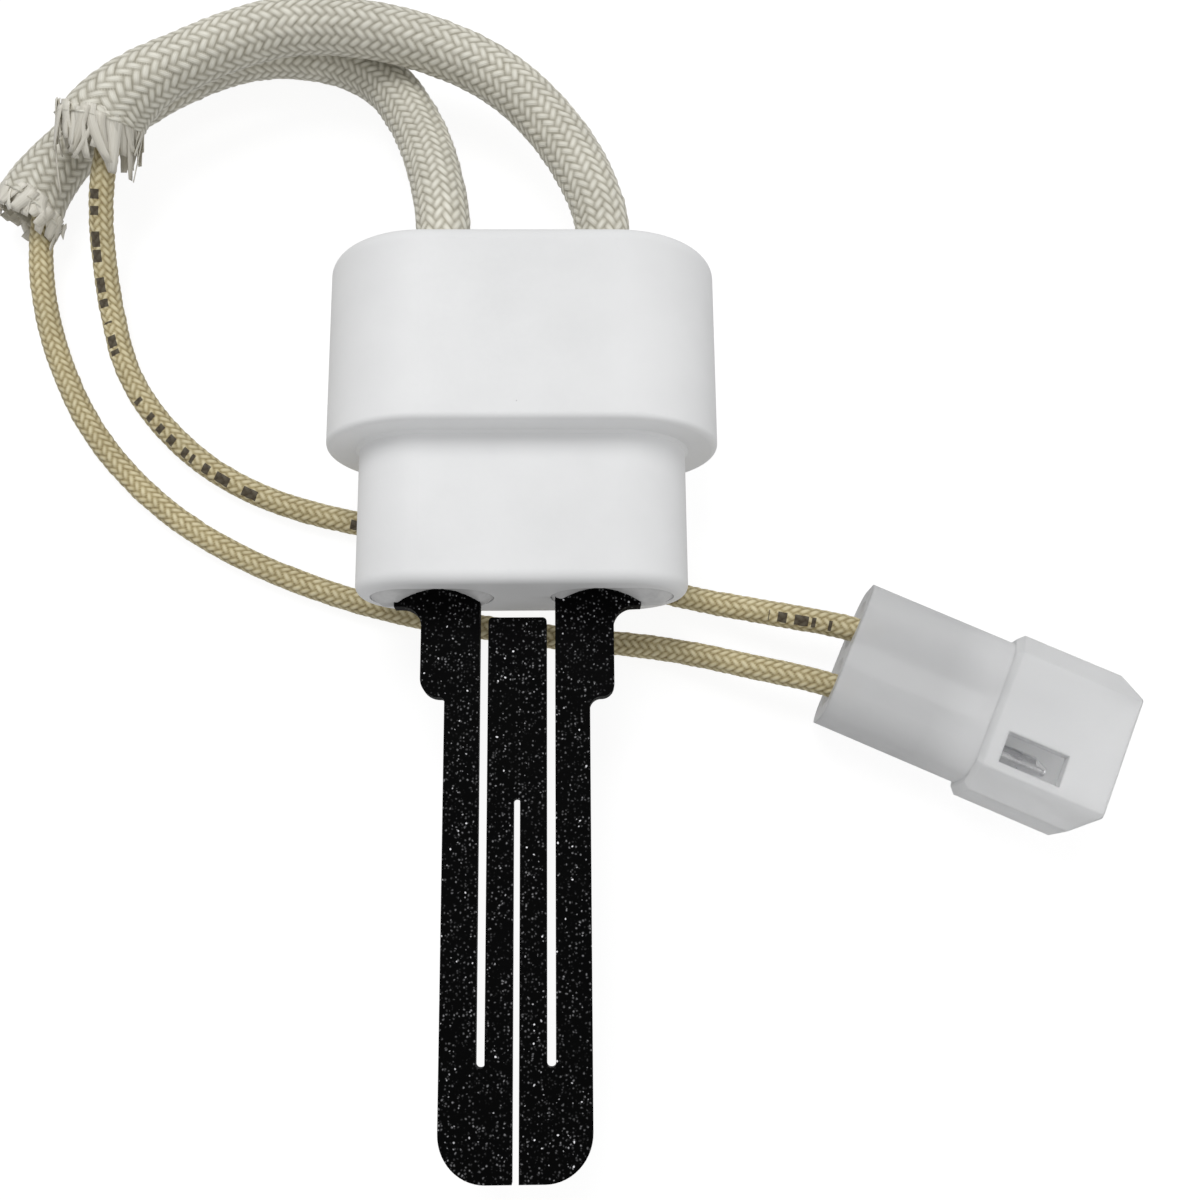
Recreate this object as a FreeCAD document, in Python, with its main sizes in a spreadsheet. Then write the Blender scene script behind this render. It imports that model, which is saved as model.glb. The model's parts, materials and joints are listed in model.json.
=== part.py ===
import FreeCAD
import Part
import math
import os
import Sketcher

# Hot surface igniter, in millimetres, lying on the flat back of its ceramic block as it would on a bench.
# The origin is the centre of the shoulder under the flange, where the block seats on a burner bracket.
# The element points along -Y, the leads leave along +Y, and +Z is up from the surface it lies on.

Vector = FreeCAD.Vector
Rotation = FreeCAD.Rotation
Placement = FreeCAD.Placement

SIZES = {
    # leads and the sleeves over them
    "lead_diameter": 2.4,
    "conductor_diameter": 1.2,
    "bare_conductor_length": 3.0,
    "sleeve_diameter": 5.4,
    "sleeve_wall": 0.7,
    # ceramic block: a flange and a narrower neck, both with half round ends
    "flange_width": 38.1,
    "flange_depth": 19.7,
    "flange_height": 19.4,
    "flange_top_round": 1.5,
    "flange_bottom_round": 0.6,
    "shoulder_side": 3.175,
    "shoulder_face": 3.3,
    "neck_width": "=flange_width - 2 * shoulder_side",
    "neck_depth": "=flange_depth - 2 * shoulder_face",
    "neck_length": 14.5,
    "neck_end_round": 1.1,
    "neck_root_chamfer": 0.3,
    # heating element, a slotted plate of silicon carbide
    "element_thickness": 1.7,
    "element_offset": -0.4,
    "element_length": 52.3,
    "tail_inset": 4.175,
    "tail_span": "=neck_width - 2 * tail_inset",
    "tail_flare": 2.6,
    "leg_span": "=tail_span - 2 * tail_flare",
    "leg_step": 2.3,
    "paddle_width": "=leg_span - 2 * leg_step",
    "prong_share": 0.4044,
    "prong_width": "=paddle_width * prong_share",
    "slot_width": 0.8,
    "centre_slot_width": 0.6,
    "slot_end_share": 0.45,
    "toe_share": 0.309,
    "toe_round": "=paddle_width * toe_share",
    "tail_length": 10.5,
    "tail_drop": 1.0,
    "step_drop": 9.7,
    "prong_drop": 2.1,
    "outer_slot_drop": 42.7,
    "centre_slot_drop": 19.1,
    "left_step_round": 1.8,
    "left_step_inner_round": 0.4,
    "right_step_round": 1.2,
    "right_step_inner_round": 1.05,
    "tail_inner_round": 1.9,
    "prong_round": 0.4,
    # cavities of the block, one set for each lead
    "leg_clearance": 0.85,
    "pocket_web": "=prong_width + 2 * slot_width - 2 * leg_clearance",
    "pocket_wall": 1.375,
    "pocket_width": "=(neck_width - pocket_web) / 2 - pocket_wall",
    "pocket_spacing": "=pocket_web + pocket_width",
    "pocket_face_wall": 2.75,
    "pocket_depth": "=neck_depth - 2 * pocket_face_wall",
    "pocket_length": 15.5,
    "lead_inset": 1.0,
    "lead_spacing": "=pocket_spacing - lead_inset",
    "lead_cement_wall": 1.1,
    "lead_bore_diameter": "=sleeve_diameter + 2 * lead_cement_wall",
    "lead_bore_length": 9.0,
    "passage_clearance": 1.0,
    "passage_diameter": "=lead_diameter + 2 * passage_clearance",
    # refractory cement
    "element_cement_recess": 0.4,
    "element_cement_length": 5.9,
    "lead_cement_recess": 0.4,
    "lead_cement_ledge": 2.0,
    # clip that joins each leg of the element to its conductor
    "clip_width": 5.0,
    "clip_length": 4.0,
    "clip_sheet": 0.4,
    "clip_barrel_length": 4.6,
    "clip_barrel_wall": 0.4,
    "clip_wire_depth": 3.6,
    # two way plug: a rear body, and a wider shroud round the pins
    "plug_pitch": 6.2,
    "plug_front_width": 16.2,
    "plug_front_depth": 10.0,
    "plug_front_length": 12.5,
    "plug_front_chamfer": "=plug_front_depth * 0.23",
    "plug_step_side": 0.9,
    "plug_step_face": 0.8,
    "plug_step_chamfer": "=plug_step_face * 0.75",
    "plug_rear_width": "=plug_front_width - 2 * plug_step_side",
    "plug_rear_depth": "=plug_front_depth - 2 * plug_step_face",
    "plug_rear_length": 14.7,
    "plug_rear_round": "=plug_rear_depth / 3",
    "shroud_wall": 1.4,
    "shroud_side_wall": 2.4,
    "nose_land": 0.4,
    "plug_nose_chamfer": "=shroud_side_wall - nose_land",
    "shroud_corner_round": 1.2,
    "socket_setback": 0.9,
    "cavity_diameter": 3.6,
    "cavity_mouth_diameter": 5.2,
    "stop_wall": 1.5,
    "pin_hole_clearance": 0.15,
    "window_length": 6.0,
    "window_width": 3.1,
    "window_offset": 0.35,
    "window_setback": 0.9,
    # crimped contacts
    "grip_sheet": 0.5,
    "grip_diameter": "=lead_diameter + 2 * grip_sheet",
    "grip_start": 2.5,
    "grip_length": 2.5,
    "crimp_sheet": 0.45,
    "crimp_diameter": "=conductor_diameter + 2 * crimp_sheet",
    "crimp_length": 3.6,
    "crimp_taper": 0.6,
    "collar_clearance": 0.1,
    "collar_diameter": "=cavity_diameter - 2 * collar_clearance",
    "collar_length": 4.0,
    "pin_diameter": 2.1,
    "pin_length": 8.0,
    "pin_tip_length": 1.3,
    "pin_tip_diameter": 0.9,
    "pin_seam_width": 0.25,
    "pin_seam_depth": 0.5,
    # where the plug lies
    "plug_x": 31.5,
    "plug_y": -19.2,
    "plug_heading": -24.0,
    "exit_run": 7.0,
    "plug_run": 7.0,
}

# Each lead's route between its exit from the block and its plug cavity, as x, y and height above the surface.
LEFT_ROUTE = [
    (-10.3, 38.4, 6.2),
    (-17.4, 46.0, 3.0),
    (-27.6, 47.8, 2.7),
    (-38.5, 43.2, 2.7),
    (-49.6, 35.2, 2.7),
    (-52.9, 25.2, 2.7),
    (-50.0, 14.6, 1.2),
    (-44.0, 3.2, 1.2),
    (-33.0, -6.6, 1.2),
    (-16.0, -13.6, 1.2),
    (1.5, -16.3, 1.2),
    (13.8, -17.4, 1.5),
]
RIGHT_ROUTE = [
    (3.8, 36.6, 7.1),
    (-3.4, 44.7, 5.8),
    (-13.8, 48.1, 8.1),
    (-24.5, 48.8, 9.3),
    (-33.4, 45.6, 9.4),
    (-41.3, 40.2, 9.4),
    (-44.5, 31.6, 7.2),
    (-44.7, 20.7, 1.9),
    (-41.0, 8.8, 1.2),
    (-29.5, -1.6, 1.2),
    (-11.3, -6.2, 1.2),
    (3.4, -8.9, 1.2),
    (15.1, -12.7, 1.5),
]
# The sleeve over each lead ends halfway along this run of its route, counted from the block.
LEFT_SLEEVE_RUN = 6
RIGHT_SLEEVE_RUN = 7
# An arc of a route takes this share of the shorter run beside it.
ARC_SHARE = 0.45

doc = FreeCAD.newDocument("hot_surface_igniter")
sheet = doc.addObject("Spreadsheet::Sheet", "sizes")
for row, (alias, number) in enumerate(SIZES.items(), start=1):
    sheet.set(f"A{row}", alias)
    sheet.set(f"B{row}", str(number))
    sheet.setAlias(f"B{row}", alias)
doc.recompute()

SIDES = (("left", -1), ("right", 1))
SUBPARTS = []


def value(expression):
    return float(sheet.evalExpression(expression))


def bind(item, expressions):
    for prop, expression in expressions.items():
        item.setExpression(prop, expression)


def new_body(label, subpart=True):
    body = doc.addObject("PartDesign::Body", label)
    body.Label = label
    if subpart:
        SUBPARTS.append(body)
    return body


def new_sketch(body, name, plane, offset=None):
    # The offset moves the sketch within its plane (x, y) and along its normal (z).
    sketch = body.newObject("Sketcher::SketchObject", name)
    support = [item for item in body.Origin.OriginFeatures if item.Role == plane]
    sketch.AttachmentSupport = [(support[0], "")]
    sketch.MapMode = "FlatFace"
    for axis, expression in (offset or {}).items():
        sketch.setExpression(f"AttachmentOffset.Base.{axis}", expression)
    return sketch


def name_and_bind(sketch, number, name, expression):
    sketch.renameConstraint(number, name)
    sketch.setExpression(f"Constraints.{name}", expression)


def draw_polygon(sketch, corners):
    # A closed outline whose corners are pairs of expressions, each held by its distances from the origin.
    spots = [Vector(value(x), value(y), 0) for x, y in corners]
    lines = []
    for start, end in zip(spots, spots[1:] + spots[:1]):
        lines.append(sketch.addGeometry(Part.LineSegment(start, end)))
    for line, following in zip(lines, lines[1:] + lines[:1]):
        sketch.addConstraint(Sketcher.Constraint("Coincident", line, 2, following, 1))
    for number, (line, spot, corner) in enumerate(zip(lines, spots, corners), start=1):
        across = sketch.addConstraint(Sketcher.Constraint("DistanceX", -1, 1, line, 1, spot.x))
        name_and_bind(sketch, across, f"x{number}", corner[0])
        along = sketch.addConstraint(Sketcher.Constraint("DistanceY", -1, 1, line, 1, spot.y))
        name_and_bind(sketch, along, f"y{number}", corner[1])


def draw_circle(sketch, radius):
    circle = sketch.addGeometry(Part.Circle(Vector(0, 0, 0), Vector(0, 0, 1), value(radius)))
    sketch.addConstraint(Sketcher.Constraint("Coincident", circle, 3, -1, 1))
    number = sketch.addConstraint(Sketcher.Constraint("Radius", circle, value(radius)))
    name_and_bind(sketch, number, "radius", radius)


def draw_stadium(sketch, width, depth):
    radius = value(depth) / 2
    half = value(width) / 2 - radius
    top = sketch.addGeometry(Part.LineSegment(Vector(-half, radius, 0), Vector(half, radius, 0)))
    bottom = sketch.addGeometry(Part.LineSegment(Vector(half, -radius, 0), Vector(-half, -radius, 0)))
    right_circle = Part.Circle(Vector(half, 0, 0), Vector(0, 0, 1), radius)
    right = sketch.addGeometry(Part.ArcOfCircle(right_circle, -math.pi / 2, math.pi / 2))
    left_circle = Part.Circle(Vector(-half, 0, 0), Vector(0, 0, 1), radius)
    left = sketch.addGeometry(Part.ArcOfCircle(left_circle, math.pi / 2, 3 * math.pi / 2))
    sketch.addConstraint(Sketcher.Constraint("Tangent", top, 2, right, 2))
    sketch.addConstraint(Sketcher.Constraint("Tangent", right, 1, bottom, 1))
    sketch.addConstraint(Sketcher.Constraint("Tangent", bottom, 2, left, 2))
    sketch.addConstraint(Sketcher.Constraint("Tangent", left, 1, top, 1))
    sketch.addConstraint(Sketcher.Constraint("Horizontal", top))
    sketch.addConstraint(Sketcher.Constraint("Symmetric", left, 3, right, 3, -1, 1))
    span = sketch.addConstraint(Sketcher.Constraint("DistanceX", left, 3, right, 3, 2 * half))
    name_and_bind(sketch, span, "span", f"{width} - {depth}")
    curve = sketch.addConstraint(Sketcher.Constraint("Radius", right, radius))
    name_and_bind(sketch, curve, "end_radius", f"{depth} / 2")


def volume_of(body):
    doc.recompute()
    return body.Shape.Volume


def pad(body, name, sketch, length, backwards=False):
    feature = body.newObject("PartDesign::Pad", name)
    feature.Profile = sketch
    feature.Reversed = backwards
    feature.setExpression("Length", length)
    doc.recompute()
    return feature


def pocket(body, name, sketch, length, backwards=False):
    before = volume_of(body)
    feature = body.newObject("PartDesign::Pocket", name)
    feature.Profile = sketch
    feature.Reversed = backwards
    feature.setExpression("Length", length)
    if volume_of(body) > before - 1e-6:
        raise RuntimeError(f"{name} cuts nothing from {body.Label}")
    return feature


def revolution(body, name, sketch, axis):
    feature = body.newObject("PartDesign::Revolution", name)
    feature.Profile = sketch
    feature.ReferenceAxis = (sketch, [axis])
    feature.Angle = 360
    doc.recompute()
    return feature


def dress_edges(kind, body, name, size_property, size, wanted):
    # Rounds or chamfers the edges of the body's last feature that the test picks out.
    doc.recompute()
    base = body.Tip
    names = []
    for number, edge in enumerate(base.Shape.Edges, start=1):
        if wanted(edge):
            names.append(f"Edge{number}")
    if not names:
        raise RuntimeError(f"{name} finds no edge on {body.Label}")
    feature = body.newObject(f"PartDesign::{kind}", name)
    feature.Base = (base, names)
    feature.setExpression(size_property, size)
    doc.recompute()
    return feature


def round_edges(body, name, radius, wanted):
    return dress_edges("Fillet", body, name, "Radius", radius, wanted)


def chamfer_edges(body, name, size, wanted):
    return dress_edges("Chamfer", body, name, "Size", size, wanted)


def in_plane(axis, level):
    # Picks edges that lie in one plane across an axis, such as the rim of an end face.
    def test(edge):
        box = edge.BoundBox
        low = getattr(box, f"{axis}Min")
        high = getattr(box, f"{axis}Max")
        return abs(low - level) < 1e-4 and abs(high - level) < 1e-4

    return test


def upright_at(x, y):
    # Picks the straight edge along Z at one corner of a flat plate.
    def test(edge):
        spot = edge.CenterOfMass
        tall = edge.BoundBox.ZLength > 0.5 * edge.Length
        return tall and math.hypot(spot.x - x, spot.y - y) < 1e-3

    return test


def any_of(*tests):
    return lambda edge: any(test(edge) for test in tests)


def mirror_all(body, name, originals):
    feature = body.newObject("PartDesign::Mirrored", name)
    plane = [item for item in body.Origin.OriginFeatures if item.Role == "YZ_Plane"]
    feature.Originals = originals
    feature.MirrorPlane = (plane[0], [""])
    body.Tip = feature
    doc.recompute()
    return feature


def make_ceramic_block():
    body = new_body("ceramic_block")
    flange_outline = new_sketch(body, "flange_outline", "XZ_Plane")
    draw_stadium(flange_outline, "sizes.flange_width", "sizes.flange_depth")
    pad(body, "flange", flange_outline, "sizes.flange_height", backwards=True)
    neck_outline = new_sketch(body, "neck_outline", "XZ_Plane")
    draw_stadium(neck_outline, "sizes.neck_width", "sizes.neck_depth")
    pad(body, "neck", neck_outline, "sizes.neck_length")
    neck_reach = value("sizes.neck_width") / 2

    def flange_rim(edge):
        outside = edge.BoundBox.XMax > neck_reach + 0.5 or edge.BoundBox.XMin < -neck_reach - 0.5
        flat = edge.BoundBox.ZLength < 1e-6 and abs(edge.BoundBox.ZMax) > value("sizes.neck_depth") / 2 + 0.5
        return in_plane("Y", 0)(edge) and (outside or flat)

    def neck_root(edge):
        return in_plane("Y", 0)(edge) and not flange_rim(edge)

    round_edges(body, "top_round", "sizes.flange_top_round", in_plane("Y", value("sizes.flange_height")))
    round_edges(body, "bottom_round", "sizes.flange_bottom_round", flange_rim)
    round_edges(body, "end_round", "sizes.neck_end_round", in_plane("Y", -value("sizes.neck_length")))
    chamfer_edges(body, "root_chamfer", "sizes.neck_root_chamfer", neck_root)
    for side, sign in SIDES:
        pocket_place = {"x": f"{sign} * sizes.pocket_spacing / 2", "z": "sizes.neck_length"}
        pocket_outline = new_sketch(body, f"pocket_outline_{side}", "XZ_Plane", pocket_place)
        draw_stadium(pocket_outline, "sizes.pocket_width", "sizes.pocket_depth")
        pocket(body, f"element_pocket_{side}", pocket_outline, "sizes.pocket_length")
        bore_place = {"x": f"{sign} * sizes.lead_spacing / 2", "z": "-sizes.flange_height"}
        bore_outline = new_sketch(body, f"bore_outline_{side}", "XZ_Plane", bore_place)
        draw_circle(bore_outline, "sizes.lead_bore_diameter / 2")
        pocket(body, f"lead_bore_{side}", bore_outline, "sizes.lead_bore_length", backwards=True)
        passage_outline = new_sketch(body, f"passage_outline_{side}", "XZ_Plane", bore_place)
        draw_circle(passage_outline, "sizes.passage_diameter / 2")
        passage_length = "sizes.flange_height + sizes.neck_length - sizes.pocket_length"
        pocket(body, f"passage_{side}", passage_outline, passage_length, backwards=True)
    return body


def make_heating_element():
    body = new_body("heating_element")
    bottom = "-(sizes.neck_length + sizes.element_length)"
    step = "-(sizes.neck_length + sizes.step_drop)"
    flare = "-(sizes.neck_length + sizes.tail_drop)"
    tail = "-(sizes.neck_length - sizes.tail_length)"
    prong = "-(sizes.neck_length + sizes.prong_drop)"
    slot_end = "-(sizes.neck_length + sizes.outer_slot_drop)"
    centre_slot_end = "-(sizes.neck_length + sizes.centre_slot_drop)"
    paddle_side = "sizes.paddle_width / 2"
    leg_side = "sizes.leg_span / 2"
    tail_side = "sizes.tail_span / 2"
    prong_side = "sizes.prong_width / 2"
    leg_inside = "sizes.prong_width / 2 + sizes.slot_width"
    back = {"z": "-sizes.element_thickness / 2"}
    outline = new_sketch(body, "half_outline", "XY_Plane", back)
    draw_polygon(
        outline,
        [
            ("0", bottom),
            (paddle_side, bottom),
            (paddle_side, step),
            (leg_side, step),
            (leg_side, flare),
            (tail_side, flare),
            (tail_side, tail),
            (leg_inside, tail),
            (leg_inside, prong),
            ("0", prong),
        ],
    )
    half = pad(body, "half_plate", outline, "sizes.element_thickness")
    slot_outline = new_sketch(body, "outer_slot_outline", "XY_Plane", back)
    draw_polygon(
        slot_outline, [(prong_side, slot_end), (leg_inside, slot_end), (leg_inside, prong), (prong_side, prong)]
    )
    slot = pocket(body, "outer_slot", slot_outline, "sizes.element_thickness", backwards=True)
    mirror_all(body, "both_halves", [half, slot])
    centre_outline = new_sketch(body, "centre_slot_outline", "XY_Plane", back)
    centre_side = "sizes.centre_slot_width / 2"
    centre_corners = [("-" + centre_side, bottom), (centre_side, bottom)]
    centre_corners += [(centre_side, centre_slot_end), ("-" + centre_side, centre_slot_end)]
    draw_polygon(centre_outline, centre_corners)
    pocket(body, "centre_slot", centre_outline, "sizes.element_thickness", backwards=True)

    def corners(x, y):
        across = value(x)
        along = value(y)
        return any_of(upright_at(across, along), upright_at(-across, along))

    round_edges(body, "toes", "sizes.toe_round", corners(paddle_side, bottom))
    for side, sign in SIDES:
        step_corner = upright_at(sign * value(leg_side), value(step))
        round_edges(body, f"{side}_step_corner", f"sizes.{side}_step_round", step_corner)
        step_root = upright_at(sign * value(paddle_side), value(step))
        round_edges(body, f"{side}_step_root", f"sizes.{side}_step_inner_round", step_root)
    round_edges(body, "tail_roots", "sizes.tail_inner_round", corners(leg_side, flare))
    round_edges(body, "prong_corners", "sizes.prong_round", corners(prong_side, prong))
    slot_ends = any_of(corners(prong_side, slot_end), corners(leg_inside, slot_end))
    round_edges(body, "slot_ends", "sizes.slot_width * sizes.slot_end_share", slot_ends)
    centre_slot_ends = corners(centre_side, centre_slot_end)
    round_edges(body, "centre_slot_ends", "sizes.centre_slot_width * sizes.slot_end_share", centre_slot_ends)
    body.setExpression("Placement.Base.x", "sizes.element_offset")
    return body


def make_element_cement(side, sign, element):
    # The cement fills the pocket round the tail of the element's leg.
    fill = new_body(f"element_cement_fill_{side}", subpart=False)
    face = "sizes.neck_length - sizes.element_cement_recess"
    outline_place = {"x": f"{sign} * sizes.pocket_spacing / 2", "z": face}
    outline = new_sketch(fill, f"cement_outline_{side}", "XZ_Plane", outline_place)
    draw_stadium(outline, "sizes.pocket_width", "sizes.pocket_depth")
    pad(fill, f"cement_{side}", outline, "sizes.element_cement_length", backwards=True)
    cement = doc.addObject("Part::Cut", f"element_cement_{side}")
    cement.Base = fill
    cement.Tool = element
    SUBPARTS.append(cement)
    return cement


def make_lead_cement(side, sign):
    # A ring in the lead bore: the sleeve stands on its inner ledge and the lead passes through.
    body = new_body(f"lead_cement_{side}")
    top = "sizes.flange_height - sizes.lead_cement_recess"
    floor = "sizes.flange_height - sizes.lead_bore_length"
    ledge = "sizes.flange_height - sizes.lead_bore_length + sizes.lead_cement_ledge"
    profile = new_sketch(body, f"ring_profile_{side}", "XY_Plane")
    draw_polygon(
        profile,
        [
            ("sizes.lead_diameter / 2", floor),
            ("sizes.lead_bore_diameter / 2", floor),
            ("sizes.lead_bore_diameter / 2", top),
            ("sizes.sleeve_diameter / 2", top),
            ("sizes.sleeve_diameter / 2", ledge),
            ("sizes.lead_diameter / 2", ledge),
        ],
    )
    revolution(body, f"ring_{side}", profile, "V_Axis")
    body.setExpression("Placement.Base.x", f"{sign} * sizes.lead_spacing / 2")
    return body


def part_box(name, expressions):
    box = doc.addObject("Part::Box", name)
    bind(box, expressions)
    return box


def part_cylinder(name, radius, length, x, y):
    # A cylinder along +Y from the given place.
    rod = doc.addObject("Part::Cylinder", name)
    rod.Placement = Placement(Vector(0, 0, 0), Rotation(Vector(1, 0, 0), -90))
    bind(rod, {"Radius": radius, "Height": length, "Placement.Base.x": x, "Placement.Base.y": y})
    return rod


def part_boolean(kind, name, base, tool):
    result = doc.addObject(f"Part::{kind}", name)
    result.Base = base
    result.Tool = tool
    return result


def make_element_terminal(side, sign):
    # A folded clip that grips both faces of the leg's tail, with a barrel crimped on the conductor.
    centre = f"{sign} * sizes.lead_spacing / 2"
    tail = "-(sizes.neck_length - sizes.tail_length)"
    grip = part_box(
        f"clip_fold_{side}",
        {
            "Length": "sizes.clip_width",
            "Width": "sizes.clip_length",
            "Height": "sizes.element_thickness + 2 * sizes.clip_sheet",
            "Placement.Base.x": f"{centre} - sizes.clip_width / 2",
            "Placement.Base.y": f"{tail} + sizes.clip_sheet - sizes.clip_length",
            "Placement.Base.z": "-sizes.element_thickness / 2 - sizes.clip_sheet",
        },
    )
    gap = part_box(
        f"clip_gap_{side}",
        {
            "Length": "sizes.clip_width",
            "Width": "sizes.clip_length - sizes.clip_sheet",
            "Height": "sizes.element_thickness",
            "Placement.Base.x": f"{centre} - sizes.clip_width / 2",
            "Placement.Base.y": f"{tail} + sizes.clip_sheet - sizes.clip_length",
            "Placement.Base.z": "-sizes.element_thickness / 2",
        },
    )
    clip = part_boolean("Cut", f"clip_{side}", grip, gap)
    barrel_radius = "sizes.conductor_diameter / 2 + sizes.clip_barrel_wall"
    barrel = part_cylinder(
        f"clip_barrel_{side}", barrel_radius, "sizes.clip_barrel_length", centre, f"{tail} + sizes.clip_sheet"
    )
    joined = part_boolean("Fuse", f"clip_and_barrel_{side}", clip, barrel)
    wire_start = f"{tail} + sizes.clip_sheet + sizes.clip_barrel_length - sizes.clip_wire_depth"
    bore = part_cylinder(
        f"clip_bore_{side}", "sizes.conductor_diameter / 2", "sizes.clip_wire_depth", centre, wire_start
    )
    terminal = part_boolean("Cut", f"element_terminal_{side}", joined, bore)
    SUBPARTS.append(terminal)
    return terminal


def make_conductor_ends(side, sign):
    # The bare ends of the conductor: one crimped in the clip, one in the contact. The lead covers the rest.
    centre = f"{sign} * sizes.lead_spacing / 2"
    tail = "-(sizes.neck_length - sizes.tail_length)"
    start = f"{tail} + sizes.clip_sheet + sizes.clip_barrel_length - sizes.clip_wire_depth"
    radius = "sizes.conductor_diameter / 2"
    reach = "sizes.clip_wire_depth + sizes.bare_conductor_length"
    SUBPARTS.append(part_cylinder(f"conductor_{side}", radius, reach, centre, start))
    tip = doc.addObject("Part::Cylinder", f"conductor_tip_{side}")
    bind(tip, {"Radius": radius, "Height": "sizes.crimp_length"})
    spot = Vector(value("sizes.grip_start + sizes.grip_length"), sign * value("sizes.plug_pitch") / 2, 0)
    tip.Placement = plug_placement().multiply(Placement(spot, Rotation(Vector(0, 1, 0), 90)))
    SUBPARTS.append(tip)


def plug_placement():
    height = value("sizes.plug_front_depth") / 2 - value("sizes.flange_depth") / 2
    spot = Vector(value("sizes.plug_x"), value("sizes.plug_y"), height)
    return Placement(spot, Rotation(Vector(0, 0, 1), value("sizes.plug_heading")))


def make_plug_housing():
    # Drawn with its mating direction along X and its rear face in the YZ plane.
    body = new_body("plug_housing")
    rear_length = value("sizes.plug_rear_length")
    mouth = rear_length + value("sizes.plug_front_length")

    def rectangle(name, width, depth, start):
        sketch = new_sketch(body, name, "YZ_Plane", {"z": start})
        half_width = f"({width}) / 2"
        half_depth = f"({depth}) / 2"
        corners = [(f"-{half_width}", f"-{half_depth}"), (half_width, f"-{half_depth}")]
        corners += [(half_width, half_depth), (f"-{half_width}", half_depth)]
        draw_polygon(sketch, corners)
        return sketch

    def long_edges(start, end, width):
        # Picks the edges along X between two stations, at the outer corners of a section.
        def test(edge):
            box = edge.BoundBox
            along = box.YLength < 1e-6 and box.ZLength < 1e-6
            inside = box.XMin > start - 1e-4 and box.XMax < end + 1e-4
            return along and inside and abs(abs(box.YMax) - width / 2) < 1e-4

        return test

    rear = rectangle("rear_outline", "sizes.plug_rear_width", "sizes.plug_rear_depth", "0")
    pad(body, "rear_body", rear, "sizes.plug_rear_length")
    rear_corners = long_edges(0, rear_length, value("sizes.plug_rear_width"))
    round_edges(body, "rear_corners", "sizes.plug_rear_round", rear_corners)
    front = rectangle("front_outline", "sizes.plug_front_width", "sizes.plug_front_depth", "sizes.plug_rear_length")
    pad(body, "front_shroud", front, "sizes.plug_front_length")
    front_corners = long_edges(rear_length, mouth, value("sizes.plug_front_width"))
    chamfer_edges(body, "front_corners", "sizes.plug_front_chamfer", front_corners)
    front_side = value("sizes.plug_front_width") / 2

    def side_rims(edge):
        # The ends of the shroud's two narrow sides, at the mouth.
        box = edge.BoundBox
        return in_plane("X", mouth)(edge) and abs(abs(box.YMax) - front_side) < 1e-4 and box.YLength < 1e-6

    chamfer_edges(body, "nose_chamfer", "sizes.plug_nose_chamfer", side_rims)

    def step_rim(edge):
        box = edge.BoundBox
        reach = max(abs(box.YMax), abs(box.YMin))
        height = max(abs(box.ZMax), abs(box.ZMin))
        rear_reach = value("sizes.plug_rear_width") / 2
        rear_height = value("sizes.plug_rear_depth") / 2
        return in_plane("X", rear_length)(edge) and (reach > rear_reach + 1e-3 or height > rear_height + 1e-3)

    chamfer_edges(body, "step_chamfer", "sizes.plug_step_chamfer", step_rim)
    socket_width = "sizes.plug_front_width - 2 * sizes.shroud_side_wall"
    socket_depth = "sizes.plug_front_depth - 2 * sizes.shroud_wall"
    socket_floor = "sizes.plug_rear_length + sizes.socket_setback"
    socket = rectangle("socket_outline", socket_width, socket_depth, socket_floor)
    pocket(body, "socket", socket, "sizes.plug_front_length", backwards=True)
    socket_corners = long_edges(rear_length, mouth, value(socket_width))
    round_edges(body, "socket_corners", "sizes.shroud_corner_round", socket_corners)
    for side, sign in SIDES:
        # Seen from behind the plug, the right lead takes the cavity on the +Y side.
        place = {"x": f"{sign} * sizes.plug_pitch / 2", "z": "0"}
        cavity = new_sketch(body, f"cavity_outline_{side}", "YZ_Plane", place)
        draw_circle(cavity, "sizes.cavity_diameter / 2")
        cavity_length = f"{socket_floor} - sizes.stop_wall"
        pocket(body, f"cavity_{side}", cavity, cavity_length, backwards=True)
        pin_hole = new_sketch(body, f"pin_hole_outline_{side}", "YZ_Plane", place)
        draw_circle(pin_hole, "sizes.pin_diameter / 2 + sizes.pin_hole_clearance")
        pocket(body, f"pin_hole_{side}", pin_hole, socket_floor, backwards=True)
    cavity_radius = value("sizes.cavity_diameter") / 2

    def cavity_rim(edge):
        return in_plane("X", 0)(edge) and abs(edge.BoundBox.YLength - 2 * cavity_radius) < 1e-3

    lead_in = "(sizes.cavity_mouth_diameter - sizes.cavity_diameter) / 2"
    chamfer_edges(body, "cavity_mouths", lead_in, cavity_rim)
    window_start = f"{socket_floor} + sizes.window_setback"
    window = new_sketch(body, "window_outline", "XY_Plane")
    near = "-(sizes.plug_pitch + sizes.window_width) / 2 - sizes.window_offset"
    far = "-(sizes.plug_pitch - sizes.window_width) / 2 - sizes.window_offset"
    window_end = f"{window_start} + sizes.window_length"
    draw_polygon(window, [(window_start, near), (window_end, near), (window_end, far), (window_start, far)])
    pocket(body, "window", window, "sizes.plug_front_depth", backwards=True)
    body.Placement = plug_placement()
    return body


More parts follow.
